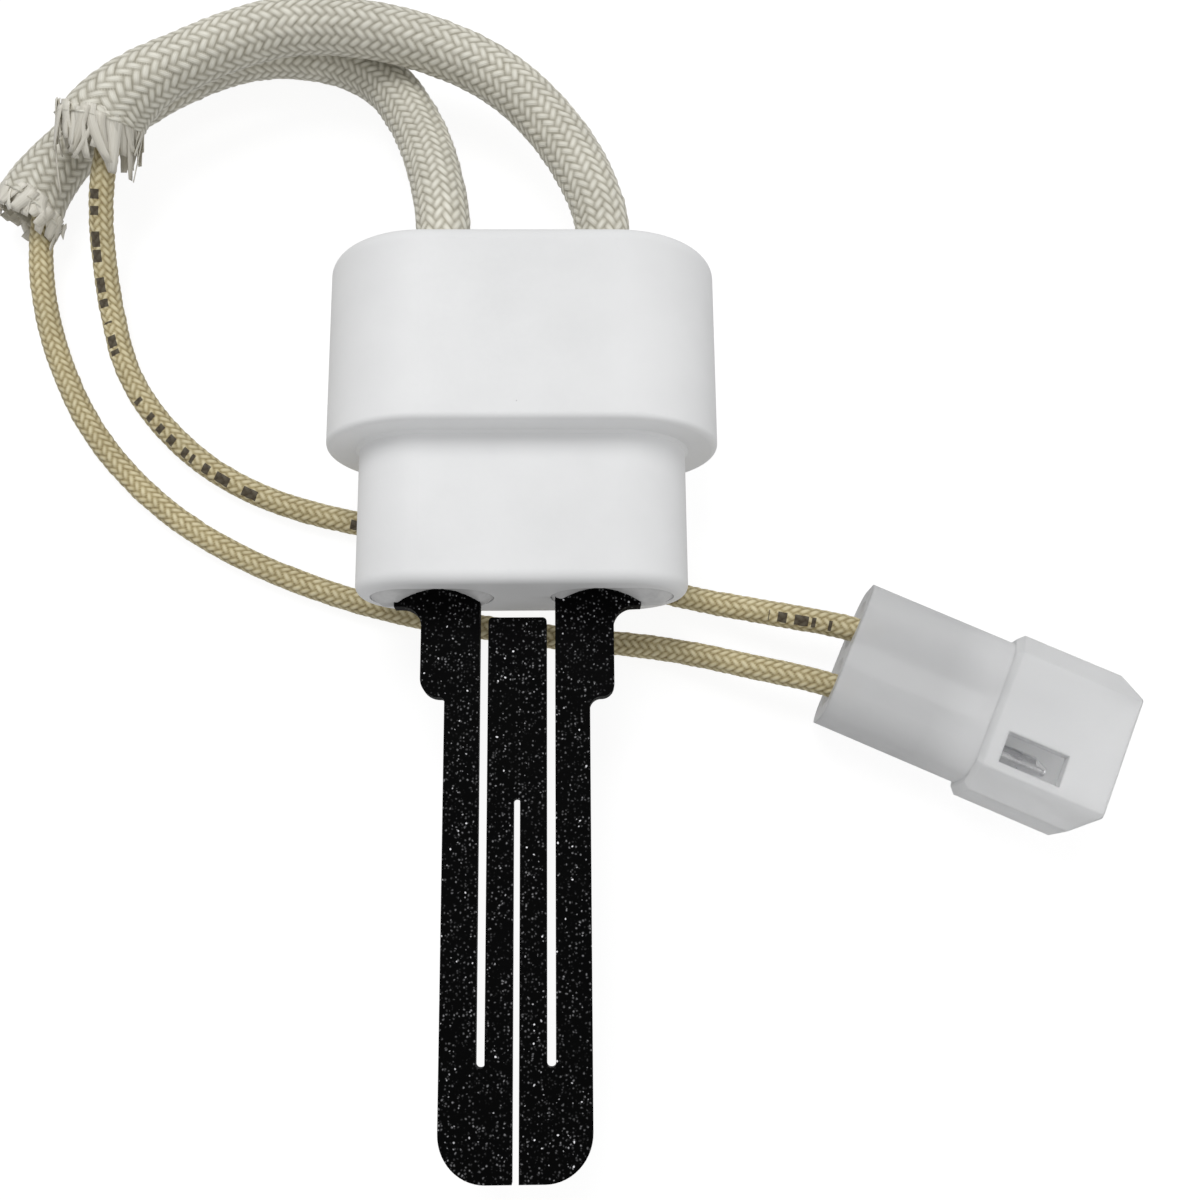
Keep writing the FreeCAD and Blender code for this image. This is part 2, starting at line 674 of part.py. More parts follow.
def make_contact(side, sign):
    # A crimp for the braid, a crimp for the conductor, a collar that seats on the stop wall, and a pin.
    body = new_body(f"contact_{side}")
    grip_end = "sizes.grip_start + sizes.grip_length"
    crimp_end = f"{grip_end} + sizes.crimp_length"
    stop = "sizes.plug_rear_length + sizes.socket_setback - sizes.stop_wall"
    tip = f"{stop} + sizes.pin_length"
    profile = new_sketch(body, f"contact_profile_{side}", "XY_Plane")
    draw_polygon(
        profile,
        [
            ("sizes.grip_start", "sizes.lead_diameter / 2"),
            ("sizes.grip_start", "sizes.grip_diameter / 2"),
            (grip_end, "sizes.grip_diameter / 2"),
            (f"{grip_end} + sizes.crimp_taper", "sizes.crimp_diameter / 2"),
            (f"{stop} - sizes.collar_length - sizes.crimp_taper", "sizes.crimp_diameter / 2"),
            (f"{stop} - sizes.collar_length", "sizes.collar_diameter / 2"),
            (stop, "sizes.collar_diameter / 2"),
            (stop, "sizes.pin_diameter / 2"),
            (f"{tip} - sizes.pin_tip_length", "sizes.pin_diameter / 2"),
            (tip, "sizes.pin_tip_diameter / 2"),
            (tip, "0"),
            (crimp_end, "0"),
            (crimp_end, "sizes.conductor_diameter / 2"),
            (grip_end, "sizes.conductor_diameter / 2"),
            (grip_end, "sizes.lead_diameter / 2"),
        ],
    )
    revolution(body, f"contact_turning_{side}", profile, "H_Axis")
    place = {"z": "sizes.pin_diameter / 2"}
    seam = new_sketch(body, f"seam_outline_{side}", "XY_Plane", place)
    half = "sizes.pin_seam_width / 2"
    seam_start = f"{stop} + sizes.pin_seam_depth"
    draw_polygon(seam, [(seam_start, f"-{half}"), (tip, f"-{half}"), (tip, half), (seam_start, half)])
    pocket(body, f"pin_seam_{side}", seam, "sizes.pin_seam_depth")
    aside = Vector(0, sign * value("sizes.plug_pitch") / 2, 0)
    body.Placement = plug_placement().multiply(Placement(aside, Rotation()))
    return body


def lead_route(sign, between):
    floor = -value("sizes.flange_depth") / 2
    aside = sign * value("sizes.lead_spacing") / 2
    top = value("sizes.flange_height")
    points = [Vector(aside, top, 0), Vector(aside, top + value("sizes.exit_run"), 0)]
    points += [Vector(x, y, floor + height) for x, y, height in between]
    plug = plug_placement()
    cavity = sign * value("sizes.plug_pitch") / 2
    points.append(plug.multVec(Vector(-value("sizes.plug_run"), cavity, 0)))
    points.append(plug.multVec(Vector(0, cavity, 0)))
    return points


def tangent_edges(points):
    # The straight runs of a route and the arcs that join them, with each arc's radius.
    edges = []
    radii = []
    here = points[0]
    for before, corner, after in zip(points, points[1:], points[2:]):
        back = (before - corner).normalize()
        onward = (after - corner).normalize()
        reach = ARC_SHARE * min((before - corner).Length, (after - corner).Length)
        turn = math.pi - back.getAngle(onward)
        radius = reach / math.tan(turn / 2)
        inward = (back + onward).normalize()
        start = corner + back * reach
        end = corner + onward * reach
        middle = corner + inward * (math.hypot(radius, reach) - radius)
        edges.append(Part.LineSegment(here, start).toShape())
        edges.append(Part.Arc(start, middle, end).toShape())
        radii.append(radius)
        here = end
    edges.append(Part.LineSegment(here, points[-1]).toShape())
    return edges, radii


def tube_along(edges, diameter):
    path = Part.Wire(edges)
    start = edges[0].firstVertex().Point
    along = edges[0].tangentAt(edges[0].FirstParameter)
    ring = Part.Wire([Part.makeCircle(diameter / 2, start, along)])
    solid = path.makePipeShell([ring], True, False)
    expected = math.pi / 4 * diameter**2 * path.Length
    return solid, expected


def check_tube(label, solid, expected):
    share = solid.Volume / expected
    print(f"{label}: volume is {share:.5f} of section times length")
    if abs(share - 1) > 1e-3:
        raise RuntimeError(f"{label} isn't a clean tube")


def feature_from(label, shape):
    feature = doc.addObject("Part::Feature", label)
    feature.Label = label
    feature.Shape = shape
    feature.Placement = Placement()
    SUBPARTS.append(feature)
    return feature


def make_cord(side, sign, between, sleeve_run):
    # One lead, a solid rod for its braid and conductor, with a loose sleeve over its first stretch.
    points = lead_route(sign, between)
    edges, radii = tangent_edges(points)
    length = sum(edge.Length for edge in edges)
    print(f"lead_{side}: free length {length:.1f}, radii " + ", ".join(f"{r:.1f}" for r in radii))
    aside = sign * value("sizes.lead_spacing") / 2
    cavity = sign * value("sizes.plug_pitch") / 2
    first_corner = edges[0].lastVertex().Point
    last_corner = edges[-1].firstVertex().Point
    tail = -value("sizes.neck_length") + value("sizes.tail_length")
    lead_start = tail + value("sizes.clip_sheet + sizes.clip_barrel_length + sizes.bare_conductor_length")
    lead_end = plug_placement().multVec(Vector(value("sizes.grip_start + sizes.grip_length"), cavity, 0))
    from_block = Part.LineSegment(Vector(aside, lead_start, 0), first_corner).toShape()
    into_plug = Part.LineSegment(last_corner, lead_end).toShape()
    lead, lead_volume = tube_along([from_block] + edges[1:-1] + [into_plug], value("sizes.lead_diameter"))
    check_tube(f"lead_{side}", lead, lead_volume)
    ledge = value("sizes.flange_height - sizes.lead_bore_length + sizes.lead_cement_ledge")
    out_of_block = Part.LineSegment(Vector(aside, ledge, 0), first_corner).toShape()
    mouth = (points[sleeve_run] + points[sleeve_run + 1]) / 2
    last_arc_end = edges[2 * sleeve_run - 1].lastVertex().Point
    to_mouth = Part.LineSegment(last_arc_end, mouth).toShape()
    sleeve_path = [out_of_block] + edges[1 : 2 * sleeve_run] + [to_mouth]
    outer, outer_volume = tube_along(sleeve_path, value("sizes.sleeve_diameter"))
    inner, inner_volume = tube_along(sleeve_path, value("sizes.sleeve_diameter - 2 * sizes.sleeve_wall"))
    sleeve = outer.cut(inner)
    check_tube(f"sleeve_{side}", sleeve, outer_volume - inner_volume)
    feature_from(f"lead_{side}", lead)
    feature_from(f"sleeve_{side}", sleeve)


def main():
    make_ceramic_block()
    element = make_heating_element()
    for side, sign in SIDES:
        make_element_cement(side, sign, element)
        make_element_terminal(side, sign)
        make_conductor_ends(side, sign)
        make_lead_cement(side, sign)
    make_plug_housing()
    for side, sign in SIDES:
        make_contact(side, sign)
    make_cord("left", -1, LEFT_ROUTE, LEFT_SLEEVE_RUN)
    make_cord("right", 1, RIGHT_ROUTE, RIGHT_SLEEVE_RUN)
    doc.recompute()
    for item in doc.Objects:
        if "Invalid" in item.State or "Error" in item.State:
            raise RuntimeError(f"{item.Label} failed to build")
    for item in SUBPARTS:
        if item.Shape.isNull() or not item.Shape.isValid():
            raise RuntimeError(f"{item.Label} has no valid shape")
    os.makedirs("parts", exist_ok=True)
    for item in SUBPARTS:
        item.Shape.exportStep(f"parts/{item.Label}.step")
        box = item.Shape.optimalBoundingBox(False, False)
        solids = len(item.Shape.Solids)
        print(f"{item.Label}: {solids} solid, {item.Shape.Volume:.1f} mm3, z from {box.ZMin:.2f} to {box.ZMax:.2f}")


main()
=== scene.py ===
import bmesh
import bpy
import json
import math
import random
from mathutils import Matrix, Vector, noise

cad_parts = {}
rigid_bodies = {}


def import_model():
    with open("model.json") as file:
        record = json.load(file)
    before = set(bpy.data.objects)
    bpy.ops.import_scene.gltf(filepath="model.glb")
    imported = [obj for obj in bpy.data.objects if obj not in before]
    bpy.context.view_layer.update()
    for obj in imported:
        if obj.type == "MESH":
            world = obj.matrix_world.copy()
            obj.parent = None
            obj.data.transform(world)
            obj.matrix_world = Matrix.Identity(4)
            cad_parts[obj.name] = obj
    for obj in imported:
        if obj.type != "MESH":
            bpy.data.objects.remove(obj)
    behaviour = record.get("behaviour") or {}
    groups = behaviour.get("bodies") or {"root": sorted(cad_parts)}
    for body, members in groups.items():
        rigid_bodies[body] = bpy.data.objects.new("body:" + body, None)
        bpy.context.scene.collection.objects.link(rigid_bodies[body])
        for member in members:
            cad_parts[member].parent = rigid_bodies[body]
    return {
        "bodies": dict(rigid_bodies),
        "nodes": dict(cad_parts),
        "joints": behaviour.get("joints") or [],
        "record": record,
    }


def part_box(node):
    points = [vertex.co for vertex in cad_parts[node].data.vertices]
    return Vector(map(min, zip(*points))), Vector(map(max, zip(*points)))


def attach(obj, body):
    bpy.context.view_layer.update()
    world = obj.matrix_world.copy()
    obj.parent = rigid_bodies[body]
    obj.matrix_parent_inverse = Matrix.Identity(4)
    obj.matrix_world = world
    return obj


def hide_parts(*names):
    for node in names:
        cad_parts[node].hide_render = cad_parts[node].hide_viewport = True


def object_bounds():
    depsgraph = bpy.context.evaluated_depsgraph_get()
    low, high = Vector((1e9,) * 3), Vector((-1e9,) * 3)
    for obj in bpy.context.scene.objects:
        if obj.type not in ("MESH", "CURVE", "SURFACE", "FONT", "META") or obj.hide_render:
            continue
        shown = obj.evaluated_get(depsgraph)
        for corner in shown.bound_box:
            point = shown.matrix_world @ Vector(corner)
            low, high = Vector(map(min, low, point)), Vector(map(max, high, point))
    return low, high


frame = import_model()
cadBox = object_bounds()
nodes = frame["nodes"]
mm = 0.001
floorLevel = cadBox[0].z  # the part lies on its flange's back
skinGap = 0.00002  # least height of a braid's skin above the floor, in metres
liningGap = 0.0003
print("frame loaded")


class Wire:
    # A node's output; Python's operators on it add Math nodes.
    def __init__(self, tree, socket):
        self.tree = tree
        self.socket = socket

    def calc(self, operation, first, second):
        node = self.tree.nodes.new("ShaderNodeMath")
        node.operation = operation
        for slot, item in zip(node.inputs, (first, second)):
            if isinstance(item, Wire):
                self.tree.links.new(item.socket, slot)
            else:
                slot.default_value = item
        return Wire(self.tree, node.outputs[0])

    def __add__(self, other):
        return self.calc("ADD", self, other)

    def __radd__(self, other):
        return self.calc("ADD", other, self)

    def __sub__(self, other):
        return self.calc("SUBTRACT", self, other)

    def __rsub__(self, other):
        return self.calc("SUBTRACT", other, self)

    def __mul__(self, other):
        return self.calc("MULTIPLY", self, other)

    def __rmul__(self, other):
        return self.calc("MULTIPLY", other, self)

    def __truediv__(self, other):
        return self.calc("DIVIDE", self, other)

    def __gt__(self, other):
        return self.calc("GREATER_THAN", self, other)

    def __lt__(self, other):
        return self.calc("LESS_THAN", self, other)

    def __pow__(self, other):
        return self.calc("POWER", self, other)


class Finish:
    # One material: constants go straight on the shader's sockets.
    def __init__(self, name, constants):
        self.material = bpy.data.materials.new(name)
        self.material.use_nodes = True
        self.tree = self.material.node_tree
        self.shader = self.tree.nodes["Principled BSDF"]
        for socketName, number in constants.items():
            self.shader.inputs[socketName].default_value = number

    def node(self, kind, settings, inputs, output=0):
        made = self.tree.nodes.new("ShaderNode" + kind)
        for key, setting in settings.items():
            if key == "stops":
                ramp = made.color_ramp
                while len(ramp.elements) < len(setting):
                    ramp.elements.new(0.5)
                for stop, (place, colour) in zip(ramp.elements, setting):
                    stop.position = place
                    stop.color = colour
            else:
                setattr(made, key, setting)
        for key, item in inputs.items():
            if isinstance(item, Wire):
                self.tree.links.new(item.socket, made.inputs[key])
            else:
                made.inputs[key].default_value = item
        return Wire(self.tree, made.outputs[output])

    def objectSpot(self):
        return self.node("TexCoord", {}, {}, "Object")

    def noise(self, spot, scale, detail=2.0, roughness=0.5):
        inputs = {"Vector": spot, "Scale": scale, "Detail": detail, "Roughness": roughness}
        return self.node("TexNoise", {}, inputs)

    def cells(self, spot, scale, output):
        return self.node("TexVoronoi", {}, {"Vector": spot, "Scale": scale}, output)

    def between(self, factor, first, second):
        # Mixes two colours.
        return self.node("Mix", {"data_type": "RGBA"}, {0: factor, 6: first, 7: second}, 2)

    def remap(self, wire, low, high, toLow, toHigh):
        inputs = {"Value": wire, "From Min": low, "From Max": high, "To Min": toLow, "To Max": toHigh}
        return self.node("MapRange", {}, inputs)

    def feed(self, socketName, wire):
        self.tree.links.new(wire.socket, self.shader.inputs[socketName])

    def bump(self, height, strength, distance, under=None):
        inputs = {"Height": height, "Strength": strength, "Distance": distance}
        if under:
            inputs["Normal"] = under
        return self.node("Bump", {}, inputs)


def dress(pieceName, finish):
    # Gives a CAD node its material.
    slots = nodes[pieceName].data.materials
    slots.clear()
    slots.append(finish.material)


cameraLook = {
    "place": (4.779, -45.002, 129.071),
    "ahead": (0.02, 0.228, -0.973),
    "up": (0.005, 0.974, 0.228),
    "lens": 41.62,
}


def setCamera():
    ahead = Vector(cameraLook["ahead"]).normalized()
    right = ahead.cross(Vector(cameraLook["up"])).normalized()
    up = right.cross(ahead)
    data = bpy.data.cameras.new("photoView")
    data.sensor_width = 36
    data.lens = cameraLook["lens"]
    data.clip_start = 0.001
    data.clip_end = 20
    camera = bpy.data.objects.new("photoView", data)
    bpy.context.scene.collection.objects.link(camera)
    turn = Matrix((right, up, -ahead)).transposed().to_4x4()
    camera.matrix_world = Matrix.Translation(Vector(cameraLook["place"]) * mm) @ turn
    bpy.context.scene.camera = camera


setCamera()
print("camera set")


# Each lead's route runs from the clip in the block to the contact in the plug,
# as x, y and the height above the floor in millimetres.
routes = {
    "left": [
        (-8.1, 4.0, 9.85), (-8.1, 19.4, 9.85), (-8.1, 26.4, 9.85), (-11.0, 38.3, 5.2), (-16.6, 47.5, 2.7),
        (-28.3, 50.2, 2.7), (-39.5, 45.9, 2.7), (-51.0, 36.2, 2.7), (-51.9, 25.1, 2.7), (-49.9, 14.5, 1.2),
        (-44.0, 3.2, 1.2), (-33.0, -6.6, 1.2), (-16.0, -13.6, 1.2), (1.5, -16.5, 1.2), (13.8, -17.7, 1.4),
        (23.4, -20.6, 4.8), (30.3, -22.2, 5.0), (34.807, -24.066, 5.0),
    ],
    "right": [
        (8.1, 4.0, 9.85), (8.1, 19.4, 9.85), (8.1, 26.4, 9.85), (3.8, 36.4, 7.9), (-3.4, 44.3, 7.3),
        (-13.8, 47.4, 9.1), (-24.5, 48.2, 9.6), (-33.4, 45.1, 9.4), (-41.3, 40.0, 9.4), (-44.5, 31.6, 7.2),
        (-44.5, 20.7, 1.9), (-41.0, 8.8, 1.2), (-29.5, -1.6, 1.2), (-11.2, -6.0, 1.2), (3.6, -8.6, 1.2),
        (15.2, -12.4, 1.4), (26.1, -15.3, 4.8), (32.8, -16.6, 5.0), (37.329, -18.402, 5.0),
    ],
}

leadLook = {
    "diameter": 2.4,
    "around": 64,
    "step": 0.18,
    "columns": 10,
    "pitch": 0.88,
    "relief": 0.13,
    "uneven": 0.06,
    "freeStart": 19.4,
    "filaments": 5.0,
}

sleeveLook = {
    "diameter": 5.4,
    "wall": 0.7,
    "around": 126,
    "step": 0.17,
    "columns": 18,
    "pitch": 1.1,
    "relief": 0.15,
    "uneven": 0.08,
    "start": 12.4,
    "mouthRun": {"left": (7, 8), "right": (8, 9)},
    "mouthPast": {"left": 1.8, "right": 0.6},
    "mouthShift": {"left": (-1.2, 0.2, 1.1), "right": (-1.3, 1.5, 0.0)},
    "mouthFlare": {"left": 0.34, "right": 0.58},
    "mouthTurn": {"left": -18.0, "right": 26.0},
    "flareLength": 13.0,
    "innerRows": 12,
    "swell": {"left": 0.03, "right": 0.07},
    "swellFrom": 10.0,
    "swellRun": 12.0,
    "filaments": 4.0,
}

frayLook = {
    "strands": 52,
    "length": {"left": (0.9, 2.1), "right": (1.5, 3.2)},
    "topLength": 1.35,
    "strays": {"left": 2, "right": 4},
    "strayLength": 1.6,
    "strayWidth": 0.45,
    "jitter": 0.35,
    "rootIn": (0.0, 0.35),
    "rootBack": (0.4, 1.4),
    "twist": 0.5,
    "tone": (0.4, 1.0),
    "width": (0.85, 1.4),
    "spread": (-0.25, 0.06),
    "curl": 0.6,
    "bias": {"left": (0.1, -0.1, -0.3), "right": (-0.05, -0.25, -0.4)},
    "thickness": 0.08,
    "segments": 8,
    "floorGap": 0.0002,
}


def routePoints(side):
    return [Vector((x, y, 0)) * mm + Vector((0, 0, floorLevel + z * mm)) for x, y, z in routes[side]]


def splineLine(points):
    # The points of a smooth NURBS line through a route.
    curve = bpy.data.curves.new("routeLine", "CURVE")
    curve.dimensions = "3D"
    curve.resolution_u = 48
    spline = curve.splines.new("NURBS")
    spline.points.add(len(points) - 1)
    for slot, point in zip(spline.points, points):
        slot.co = (*point, 1)
    spline.order_u = 3
    spline.use_endpoint_u = True
    holder = bpy.data.objects.new("routeLine", curve)
    bpy.context.scene.collection.objects.link(holder)
    bpy.context.view_layer.update()
    mesh = bpy.data.meshes.new_from_object(holder)
    line = [vertex.co.copy() for vertex in mesh.vertices]
    bpy.data.objects.remove(holder)
    bpy.data.meshes.remove(mesh)
    bpy.data.curves.remove(curve)
    return line


def evenLine(line, step):
    # The same line with its points a fixed step apart.
    even = [line[0].copy()]
    travelled = 0.0
    for before, after in zip(line, line[1:]):
        run = (after - before).length
        if run < 1e-9:
            continue
        while travelled + run >= step:
            share = (step - travelled) / run
            before = before.lerp(after, share)
            run = (after - before).length
            even.append(before.copy())
            travelled = 0.0
        travelled += run
    return even


def carriedFrames(line, turnAt=None):
    # A tangent and two directions across it at each point, carried along without twist.
    # With turnAt the frames also swing about Z.
    frames = []
    across = None
    for number, spot in enumerate(line):
        ahead = (line[min(number + 1, len(line) - 1)] - line[max(number - 1, 0)]).normalized()
        if across is None:
            across = ahead.cross(Vector((0, 0, 1))).normalized()
        across = (across - ahead * across.dot(ahead)).normalized()
        frame = (ahead, across, across.cross(ahead))
        if turnAt:
            swing = Matrix.Rotation(turnAt(number), 3, "Z")
            frame = tuple(swing @ arm for arm in frame)
        frames.append(frame)
    return frames


def braidHeight(turn, travel, columns, pitch):
    # Two yarns over, two under: gives the height from 0 to 1, which way the yarn leans, and its number.
    across = turn * columns
    along = travel / pitch
    first = across + along
    second = across - along
    phase = (math.floor(first) + math.floor(second)) % 4
    firstShare = first - math.floor(first)
    secondShare = second - math.floor(second)
    if phase < 2:
        width = firstShare
        length = (phase + secondShare) / 2
        lean = 0.0
        yarn = math.floor(first) % columns
    else:
        width = secondShare
        length = (phase - 2 + firstShare) / 2
        lean = 1.0
        yarn = columns + math.floor(second) % columns
    crown = 1 - abs(2 * width - 1) ** 2.6  # round across the yarn
    swell = 1 - abs(2 * length - 1) ** 2.4  # and dipping at both ends, where it goes under
    return crown * (0.35 + 0.65 * swell), lean, yarn


def braidedTube(pieceName, line, frames, look, radiusAt, wall=0.0):
    # A tube along a line, its skin raised into yarns; a wall makes it hollow.
    around = look["around"]
    rows = len(line) - 1
    draw = random.Random(pieceName)
    yarnTones = [draw.uniform(0.0, 1.0) for number in range(2 * look["columns"])]
    shape = bmesh.new()
    layer = shape.loops.layers.uv.new("braid")
    heightLayer = shape.verts.layers.float.new("yarnHeight")
    leanLayer = shape.verts.layers.float.new("yarnLean")
    toneLayer = shape.verts.layers.float.new("yarnTone")
    bmesh.ops.create_grid(shape, x_segments=around, y_segments=rows, size=0.5)
    for face in shape.faces:
        for loop in face.loops:
            spot = loop.vert.co
            loop[layer].uv = (spot.x + 0.5, (spot.y + 0.5) * rows * look["step"])
    for vertex in shape.verts:
        turn = vertex.co.x + 0.5
        row = round((vertex.co.y + 0.5) * rows)
        travel = row * look["step"]
        height, lean, yarn = braidHeight(turn, travel, look["columns"], look["pitch"])
        angle = 2 * math.pi * turn
        ahead, across, over = frames[row]
        outward = across * math.cos(angle) + over * math.sin(angle)
        lump = noise.noise((line[row] + outward * radiusAt(travel) * mm) * 900)  # one lump in about 1 mm
        radius = (radiusAt(travel) + look["relief"] * (height - 0.6) + look["uneven"] * lump) * mm
        spot = line[row] + outward * radius
        spot.z = max(spot.z, floorLevel + skinGap)
        vertex.co = spot
        vertex[heightLayer] = height
        vertex[leanLayer] = lean
        vertex[toneLayer] = yarnTones[yarn]
    bmesh.ops.remove_doubles(shape, verts=shape.verts, dist=1e-7)
    if wall:
        # the lining goes back from the mouth to the start, where it joins the skin
        rim = [edge for edge in shape.edges if edge.is_boundary]
        ring = [edge for edge in rim if (edge.verts[0].co - line[-1]).length < 0.008]
        near = [edge for edge in rim if edge not in ring]
        stations = [rows] + list(range(rows - 4, 0, -look["innerRows"])) + [0]
        for row in stations:
            grown = bmesh.ops.extrude_edge_only(shape, edges=ring)["geom"]
            ring = [item for item in grown if isinstance(item, bmesh.types.BMEdge) and item.is_boundary]
            ahead, across, over = frames[row]
            inside = (radiusAt(row * look["step"]) - wall) * mm
            for vertex in {vertex for edge in ring for vertex in edge.verts}:
                outward = vertex.co - line[row]
                outward -= ahead * outward.dot(ahead)
                spot = line[row] + outward.normalized() * inside
                spot.z = max(spot.z, floorLevel + liningGap)
                vertex.co = spot
                vertex[heightLayer] = 0.3
        bmesh.ops.bridge_loops(shape, edges=ring + near)
    else:
        bmesh.ops.holes_fill(shape, edges=[edge for edge in shape.edges if edge.is_boundary], sides=0)
    bmesh.ops.recalc_face_normals(shape, faces=shape.faces)
    for face in shape.faces:
        face.smooth = True
    return finishedPiece(pieceName, shape)


def finishedPiece(pieceName, shape):
    mesh = bpy.data.meshes.new(pieceName)
    shape.to_mesh(mesh)
    shape.free()
    piece = bpy.data.objects.new(pieceName, mesh)
    bpy.context.scene.collection.objects.link(piece)
    return piece


def frayedEnd(side, mouth, frame, radius):
    # Loose flat yarns that go on from a sleeve's cut end.
    ahead, across, over = frame
    bias = Vector(frayLook["bias"][side])
    draw = random.Random(f"fray {side}")
    shape = bmesh.new()
    layer = shape.verts.layers.float.new("yarnHeight")
    streaks = shape.loops.layers.uv.new("yarn")
    for number in range(frayLook["strands"]):
        turn = (number + draw.uniform(-frayLook["jitter"], frayLook["jitter"])) / frayLook["strands"]
        angle = 2 * math.pi * turn
        outward = across * math.cos(angle) + over * math.sin(angle)
        sideways = over * math.cos(angle) - across * math.sin(angle)
        length = draw.uniform(*frayLook["length"][side]) * mm
        width = draw.uniform(*frayLook["width"]) * mm
        if outward.z > 0.2:
            length *= frayLook["topLength"]
        if number % (frayLook["strands"] // frayLook["strays"][side]) == 3:
            length *= frayLook["strayLength"]
            width *= frayLook["strayWidth"]
        spread = draw.uniform(*frayLook["spread"])
        drift = draw.uniform(-frayLook["curl"], frayLook["curl"])
        twist = draw.uniform(-frayLook["twist"], frayLook["twist"])
        root = mouth + outward * (radius - draw.uniform(*frayLook["rootIn"])) * mm
        root -= ahead * draw.uniform(*frayLook["rootBack"]) * mm
        tone = draw.uniform(*frayLook["tone"])
        grid = bmesh.ops.create_grid(shape, x_segments=2, y_segments=frayLook["segments"], size=0.5)
        ribbon = grid["verts"]
        for face in {face for vertex in ribbon for face in vertex.link_faces}:
            for loop in face.loops:
                loop[streaks].uv = (loop.vert.co.x + number * 1.7, loop.vert.co.y)
        for vertex in ribbon:
            share = vertex.co.y + 0.5
            half = vertex.co.x * width * (1 - 0.3 * share**4)
            reach = share * length
            spot = root + ahead * reach + outward * reach * spread * share
            spot += (sideways + outward * twist * share) * half + sideways * reach * drift * share
            spot += bias * reach * share
            spot.z = max(spot.z, floorLevel + frayLook["floorGap"])
            vertex.co = spot
            vertex[layer] = tone
    bmesh.ops.solidify(shape, geom=shape.faces[:], thickness=frayLook["thickness"] * mm)
    bmesh.ops.recalc_face_normals(shape, faces=shape.faces)
    for face in shape.faces:
        face.smooth = True
    return finishedPiece(f"sleeveFray_{side}", shape)


# Braid colours by yarn height: painted shade in the gaps between yarns, the yarn's own colour in the
# middle, a painted highlight on the yarn crowns.
leadColours = {
    "gap": (0.27, 0.2, 0.085, 1),
    "mid": (0.52, 0.435, 0.235, 1),
    "top": (0.78, 0.7, 0.455, 1),
}
sleeveColours = {
    "gap": (0.36, 0.335, 0.26, 1),
    "mid": (0.59, 0.565, 0.475, 1),
    "top": (0.82, 0.8, 0.705, 1),
}
dashLook = {
    "ink": (0.02, 0.011, 0.009, 1),
    "strip": (0.16, 0.3),
    "group": (0.09, 0.46),
    "dash": (0.62, 0.5),
    "from": 90.0,
    "strength": 0.88,
}


def inkDashes(finish, turn, travel):
    # Plain dashes in groups, on a strip along the lead.
    strip = (turn > dashLook["strip"][0]) * (turn < dashLook["strip"][1])
    masks = []
    for scale, gate in (dashLook["group"], dashLook["dash"]):
        inputs = {"W": travel, "Scale": scale, "Detail": 0.0}
        masks.append(finish.node("TexNoise", {"noise_dimensions": "1D"}, inputs) > gate)
    return strip * masks[0] * masks[1] * (travel > dashLook["from"]) * dashLook["strength"]


def braidFinish(name, colours, look, marked=False):
    columns, pitch, filaments = look["columns"], look["pitch"], look["filaments"]
    finish = Finish(name, {"Sheen Weight": 0.1, "Specular IOR Level": 0.4})
    height = finish.node("Attribute", {"attribute_name": "yarnHeight"}, {}, "Fac")
    lean = finish.node("Attribute", {"attribute_name": "yarnLean"}, {}, "Fac")
    tone = finish.node("Attribute", {"attribute_name": "yarnTone"}, {}, "Fac")
    place = finish.node("UVMap", {"uv_map": "braid"}, {})
    turn = finish.node("SeparateXYZ", {}, {"Vector": place}, 0)
    travel = finish.node("SeparateXYZ", {}, {"Vector": place}, 1)
    across = turn * columns
    along = travel / pitch
    strand = (across + along) * (1 - lean) + (across - along) * lean
    lines = finish.node("Math", {"operation": "SINE"}, {0: strand * (2 * math.pi * filaments)})
    spot = finish.objectSpot()
    mottled = finish.noise(spot, 900.0, 3.0)
    stained = finish.noise(spot, 110.0, 3.0)
    lift = height + (mottled - 0.5) * 0.3 + lines * 0.06 + (tone - 0.5) * 0.12
    # The ramp paints shade into the braid's gaps and a highlight onto the yarn crowns.
    stops = [(0.05, colours["gap"]), (0.5, colours["mid"]), (1.0, colours["top"])]
    colour = finish.node("ValToRGB", {"stops": stops}, {"Fac": lift})
    shade = finish.remap(stained, 0.3, 0.7, 0.88, 1.06)
    multiply = {"data_type": "RGBA", "blend_type": "MULTIPLY"}
    colour = finish.node("Mix", multiply, {0: 1.0, 6: colour, 7: shade}, 2)
    if marked:
        colour = finish.between(inkDashes(finish, turn, travel), colour, dashLook["ink"])
    finish.feed("Base Color", colour)
    finish.feed("Roughness", finish.remap(height, 0.0, 1.0, 0.65, 0.4))
    finish.feed("Normal", finish.bump(lines + mottled * 0.8, 0.35, 0.00003))
    return finish


leadPlain = braidFinish("leadBraid", leadColours, leadLook)
leadMarked = braidFinish("leadBraidMarked", leadColours, leadLook, True)
sleeveFinish = braidFinish("sleeveBraid", sleeveColours, sleeveLook)

frayColours = {"dark": (0.6, 0.565, 0.475, 1), "light": (0.92, 0.895, 0.81, 1)}
frayFinish = Finish("looseGlassYarn", {"Sheen Weight": 0.1})
frayTone = frayFinish.node("Attribute", {"attribute_name": "yarnHeight"}, {}, "Fac")
frayPlace = frayFinish.node("UVMap", {"uv_map": "yarn"}, {})
frayPlace = frayFinish.node("VectorMath", {"operation": "MULTIPLY"}, {0: frayPlace, 1: (9.0, 0.7, 1.0)})
frayLines = frayFinish.noise(frayPlace, 1.6, 3.0)
frayShade = frayFinish.remap(frayTone * 0.5 + (frayLines - 0.5) * 1.6, -0.1, 0.9, 0.0, 1.0)
frayFinish.feed("Base Color", frayFinish.between(frayShade, frayColours["dark"], frayColours["light"]))
frayFinish.feed("Roughness", frayFinish.remap(frayLines, 0.3, 0.7, 0.38, 0.5))
frayFinish.feed("Normal", frayFinish.bump(frayLines, 0.6, 0.00005))


